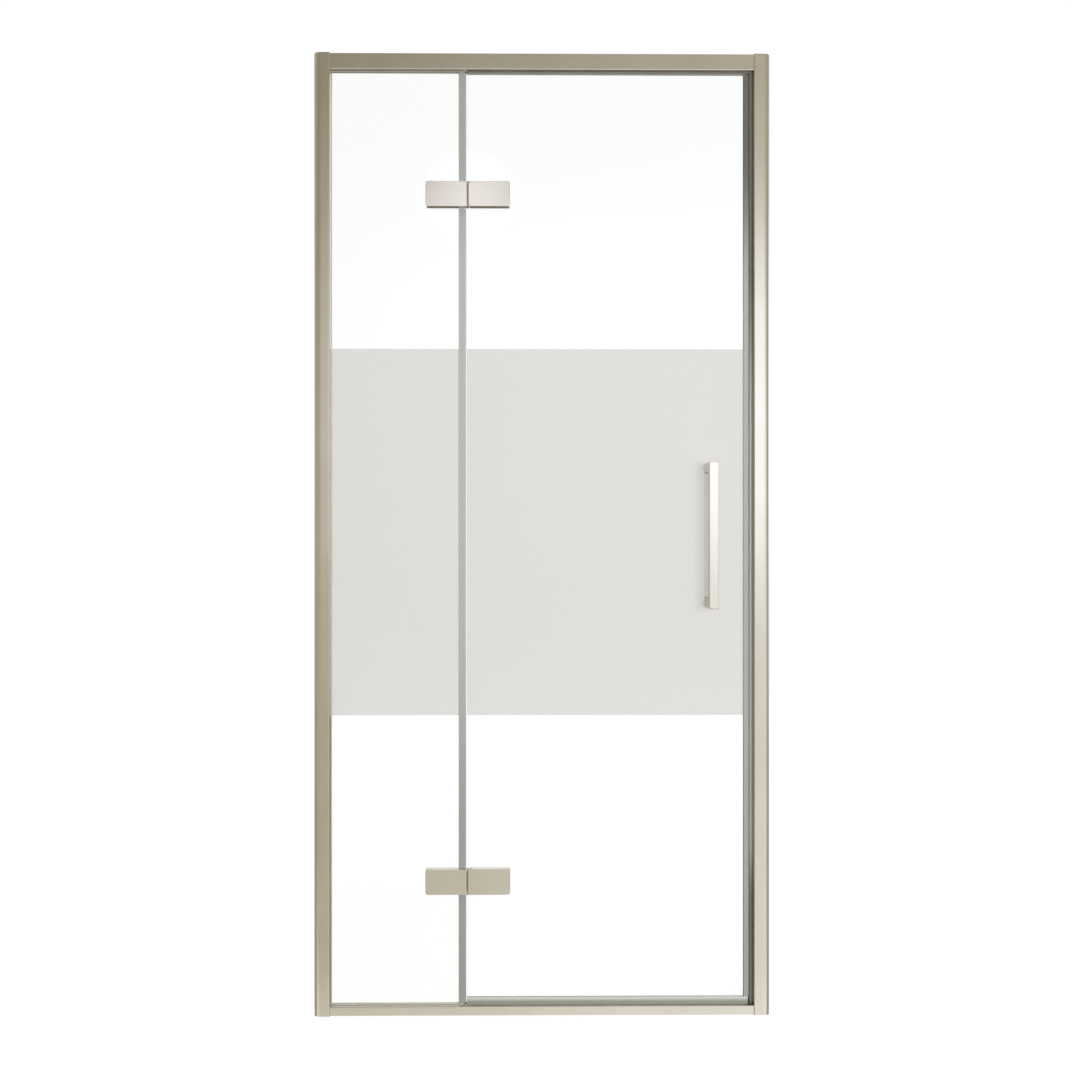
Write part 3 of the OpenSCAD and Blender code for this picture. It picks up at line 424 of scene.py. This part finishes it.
def merged_copy(name, node_name, finishes):
    """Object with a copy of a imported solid's mesh, and that mesh as a shape to work on, its loose triangles
    joined into whole flat faces."""
    mesh = frame["nodes"][node_name].data.copy()
    mesh.name = name
    mesh.materials.clear()
    for finish in finishes:
        mesh.materials.append(finish)
    made = bpy.data.objects.new(name, mesh)
    scene.collection.objects.link(made)
    shape = bmesh.new()
    shape.from_mesh(mesh)
    bmesh.ops.remove_doubles(shape, verts=shape.verts, dist=MERGE_DISTANCE)
    bmesh.ops.dissolve_limit(shape, angle_limit=SAME_PLANE, verts=shape.verts, edges=shape.edges)
    return made, shape


def shade_rounds(mesh):
    """Rounds are shaded smooth and sharp edges stay sharp."""
    mesh.shade_smooth()
    mesh.set_sharp_from_angle(angle=SHARP_EDGE)


# Screws, one tree for all kinds: a head with a hexagonal socket, a shank and its thread. The thread's ridge
# is a square section on its corner, and its size is a share of the pitch.
HEAD_SIDES, SOCKET_SIDES, SHANK_SIDES, RIDGE_SIDES = 48, 6, 32, 4
THREAD_STEPS = 24
RIDGE_SHARE = 0.4


def geometry_tree(name, inputs):
    """Empty Geometry Nodes tree with named inputs, its input sockets and its output node."""
    tree = bpy.data.node_groups.new(name, "GeometryNodeTree")
    tree.interface.new_socket("Geometry", in_out="INPUT", socket_type="NodeSocketGeometry")
    for label, kind in inputs.items():
        tree.interface.new_socket(label, in_out="INPUT", socket_type="NodeSocket" + kind)
    tree.interface.new_socket("Geometry", in_out="OUTPUT", socket_type="NodeSocketGeometry")
    return tree, add(tree, "NodeGroupInput").outputs, add(tree, "NodeGroupOutput")


def screw_tree():
    """A screw stands on each point of the mesh, its head's face on the point and its shank below."""
    lengths = ("Head Radius", "Under Head Radius", "Head Height", "Shank Radius", "Length",
               "Socket Radius", "Socket Depth", "Pitch")
    tree, given, out = geometry_tree("socket_screws", {**{length: "Float" for length in lengths},
                                                       "Turn": "Vector", "Finish": "Material"})
    size = {length: given[length] for length in lengths}
    for label, operation, first, second in (
            ("Head Bottom", "MULTIPLY", "Head Height", -1.0),
            ("Cutter Depth", "MULTIPLY", "Socket Depth", 2.0),
            ("Ridge", "MULTIPLY", "Pitch", RIDGE_SHARE),
            ("Core Radius", "SUBTRACT", "Shank Radius", "Ridge"),
            ("Run", "SUBTRACT", "Length", "Head Height"),
            ("Rotations", "DIVIDE", "Run", "Pitch"),
            ("Both Ends", "ADD", "Length", "Head Height"),
            ("Middle", "MULTIPLY", "Both Ends", -0.5),
            ("Tip", "MULTIPLY", "Length", -1.0)):
        size[label] = add(tree, "ShaderNodeMath", {0: size[first], 1: size.get(second, second)},
                          operation=operation).outputs[0]

    def set_at(shape, height):
        """A shape moved along the screw to one of its heights."""
        place = add(tree, "ShaderNodeCombineXYZ", {"Z": size[height]}).outputs[0]
        return add(tree, "GeometryNodeTransform", {"Geometry": shape, "Translation": place}).outputs[0]

    head = add(tree, "GeometryNodeMeshCone",
               {"Vertices": HEAD_SIDES, "Radius Top": size["Head Radius"],
                "Radius Bottom": size["Under Head Radius"], "Depth": size["Head Height"]}).outputs["Mesh"]
    socket = add(tree, "GeometryNodeMeshCylinder",
                 {"Vertices": SOCKET_SIDES, "Radius": size["Socket Radius"],
                  "Depth": size["Cutter Depth"]}).outputs["Mesh"]
    head = add(tree, "GeometryNodeMeshBoolean", {0: set_at(head, "Head Bottom"), 1: socket},
               operation="DIFFERENCE").outputs["Mesh"]
    shank = add(tree, "GeometryNodeMeshCylinder",
                {"Vertices": SHANK_SIDES, "Radius": size["Core Radius"],
                 "Depth": size["Run"]}).outputs["Mesh"]
    path = add(tree, "GeometryNodeCurveSpiral",
               {"Resolution": THREAD_STEPS, "Rotations": size["Rotations"],
                "Start Radius": size["Core Radius"], "End Radius": size["Core Radius"],
                "Height": size["Run"]}).outputs[0]
    section = add(tree, "GeometryNodeCurvePrimitiveCircle",
                  {"Resolution": RIDGE_SIDES, "Radius": size["Ridge"]}).outputs[0]
    thread = add(tree, "GeometryNodeCurveToMesh",
                 {"Curve": path, "Profile Curve": section, "Fill Caps": True}).outputs[0]
    whole = add(tree, "GeometryNodeJoinGeometry")
    for part in (head, set_at(shank, "Middle"), set_at(thread, "Tip")):
        tree.links.new(part, whole.inputs[0])
    placed = add(tree, "GeometryNodeInstanceOnPoints",
                 {"Points": given["Geometry"], "Instance": whole.outputs[0],
                  "Rotation": given["Turn"]}).outputs[0]
    real = add(tree, "GeometryNodeRealizeInstances", {0: placed}).outputs[0]
    done = add(tree, "GeometryNodeSetMaterial", {0: real, "Material": given["Finish"]}).outputs[0]
    tree.links.new(done, out.inputs[0])
    return tree


screws = screw_tree()


def threaded(node_name, places, sizes):
    """Screws from the tree at a node's places. Places and sizes are in millimetres, angles in radians."""
    name = node_name + "_threaded"
    mesh = bpy.data.meshes.new(name)
    mesh.from_pydata([Vector(place) * MM for place in places], [], [])
    made = bpy.data.objects.new(name, mesh)
    scene.collection.objects.link(made)
    maker = made.modifiers.new("made", "NODES")
    maker.node_group = screws
    for item in screws.interface.items_tree:
        if item.in_out == "INPUT" and item.name in sizes:
            value = sizes[item.name]
            maker[item.identifier] = value * MM if isinstance(value, float) else value
        elif item.in_out == "INPUT" and item.name == "Finish":
            maker[item.identifier] = FINISH_OF[node_name]
    settle(made, node_name)
    shade_rounds(made.data)


def middles(node_name, margins):
    """Places of the first and last of a node's equal screws, from its box and their half widths, in mm."""
    low, high = (Vector(corner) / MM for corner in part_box(node_name))
    return low + Vector(margins), high - Vector(margins)


# Sizes in millimetres. The corner screws stand one at the threshold and two, one above the other, at the
# rail. The lock screws stand at the bottom, middle and top of each jamb.
HEAD_UP_Y = (math.radians(-90), 0, 0)
CLAMP_SCREW = {"Head Radius": 5.7, "Under Head Radius": 3.0, "Head Height": 3.0, "Shank Radius": 3.0,
               "Length": 25.0, "Socket Radius": 2.3, "Socket Depth": 2.4, "Pitch": 1.0, "Turn": HEAD_UP_Y}
CORNER_SCREW = {"Head Radius": 2.2, "Under Head Radius": 2.8, "Head Height": 2.5, "Shank Radius": 1.65,
                "Length": 38.1, "Socket Radius": 1.3, "Socket Depth": 1.4, "Pitch": 0.8}
LOCK_SCREW = {"Head Radius": 2.9, "Under Head Radius": 3.7, "Head Height": 2.2, "Shank Radius": 1.75,
              "Length": 9.2, "Socket Radius": 1.5, "Socket Depth": 1.3, "Pitch": 0.8, "Turn": HEAD_UP_Y}
RAIL_SCREWS_APART = 18
clamp_half, corner_half, lock_half = (max(screw["Head Radius"], screw["Under Head Radius"])
                                      for screw in (CLAMP_SCREW, CORNER_SCREW, LOCK_SCREW))
for node_name in ("fixed_hinge_screws", "door_hinge_screws"):
    first, last = middles(node_name, (clamp_half, 0, clamp_half))
    threaded(node_name, [(x, last.y, z) for x in (first.x, last.x) for z in (first.z, last.z)],
             CLAMP_SCREW)
for side, towards_wall in (("left", -1), ("right", 1)):
    node_name = "corner_screws_" + side
    first, last = middles(node_name, (0, corner_half, corner_half))
    head_x = first.x if side == "left" else last.x
    threaded(node_name, [(head_x, first.y, z) for z in (first.z, last.z - RAIL_SCREWS_APART, last.z)],
             {**CORNER_SCREW, "Turn": (0, math.radians(90 * towards_wall), 0)})
    node_name = "lock_screws_" + side
    first, last = middles(node_name, (lock_half, 0, lock_half))
    threaded(node_name, [(first.x, last.y, z) for z in (first.z, (first.z + last.z) / 2, last.z)],
             LOCK_SCREW)


# Panes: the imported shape, its etched band and its ground edges given their own faces and finishes
BAND_LOW, BAND_HIGH = 590.8 * MM, 1318.4 * MM
PANE_FINISHES = (clear_glass, etched_glass, edge_glass)
CLEAR, ETCHED, GROUND = range(3)
LOOKS_ALONG_Y = 0.9


def pane(name, node_name):
    """The band is etched into the front face. Faces that look along Y are the front and the back."""
    made, shape = merged_copy(name, node_name, PANE_FINISHES)
    for height in (BAND_LOW, BAND_HIGH):
        whole = shape.verts[:] + shape.edges[:] + shape.faces[:]
        bmesh.ops.bisect_plane(shape, geom=whole, plane_co=(0, 0, height), plane_no=(0, 0, 1))
    for face in shape.faces:
        in_band = BAND_LOW < face.calc_center_median().z < BAND_HIGH
        if abs(face.normal.y) < LOOKS_ALONG_Y:
            face.material_index = GROUND
        else:
            face.material_index = ETCHED if in_band and face.normal.y < 0 else CLEAR
        face.smooth = False
    shape.to_mesh(made.data)
    shape.free()
    settle(made, node_name)


pane("fixed_pane", "fixed_glass")
pane("door_pane", "door_glass")


# The other imported solids, whose forms are right. The strip along the outer handle is part of its solid, and
# has a finish of its own, painted light in the bar's shadow. Its places are in millimetres.
STRIP_FRONT_Y = -6.01
STRIP_LOW_Z, STRIP_HIGH_Z = 824, 1072


def on_strip(at):
    """Whether a place on the outer handle lies on the thin strip along the glass, between its legs."""
    return at.y > STRIP_FRONT_Y and STRIP_LOW_Z < at.z < STRIP_HIGH_Z


def carried(node_name):
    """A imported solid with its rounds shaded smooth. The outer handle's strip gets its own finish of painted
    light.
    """
    made, shape = merged_copy(node_name + "_finished", node_name, [FINISH_OF[node_name]])
    if node_name == "outer_handle":
        made.data.materials.append(strip_painted_light)
        for face in shape.faces:
            face.material_index = int(on_strip(face.calc_center_median() / MM))
    shape.to_mesh(made.data)
    shape.free()
    shade_rounds(made.data)
    made.modifiers.new("flat_faces_stay_flat", "WEIGHTED_NORMAL").keep_sharp = True
    settle(made, node_name)


for node_name in FINISH_OF:
    if node_name not in dressed:
        carried(node_name)
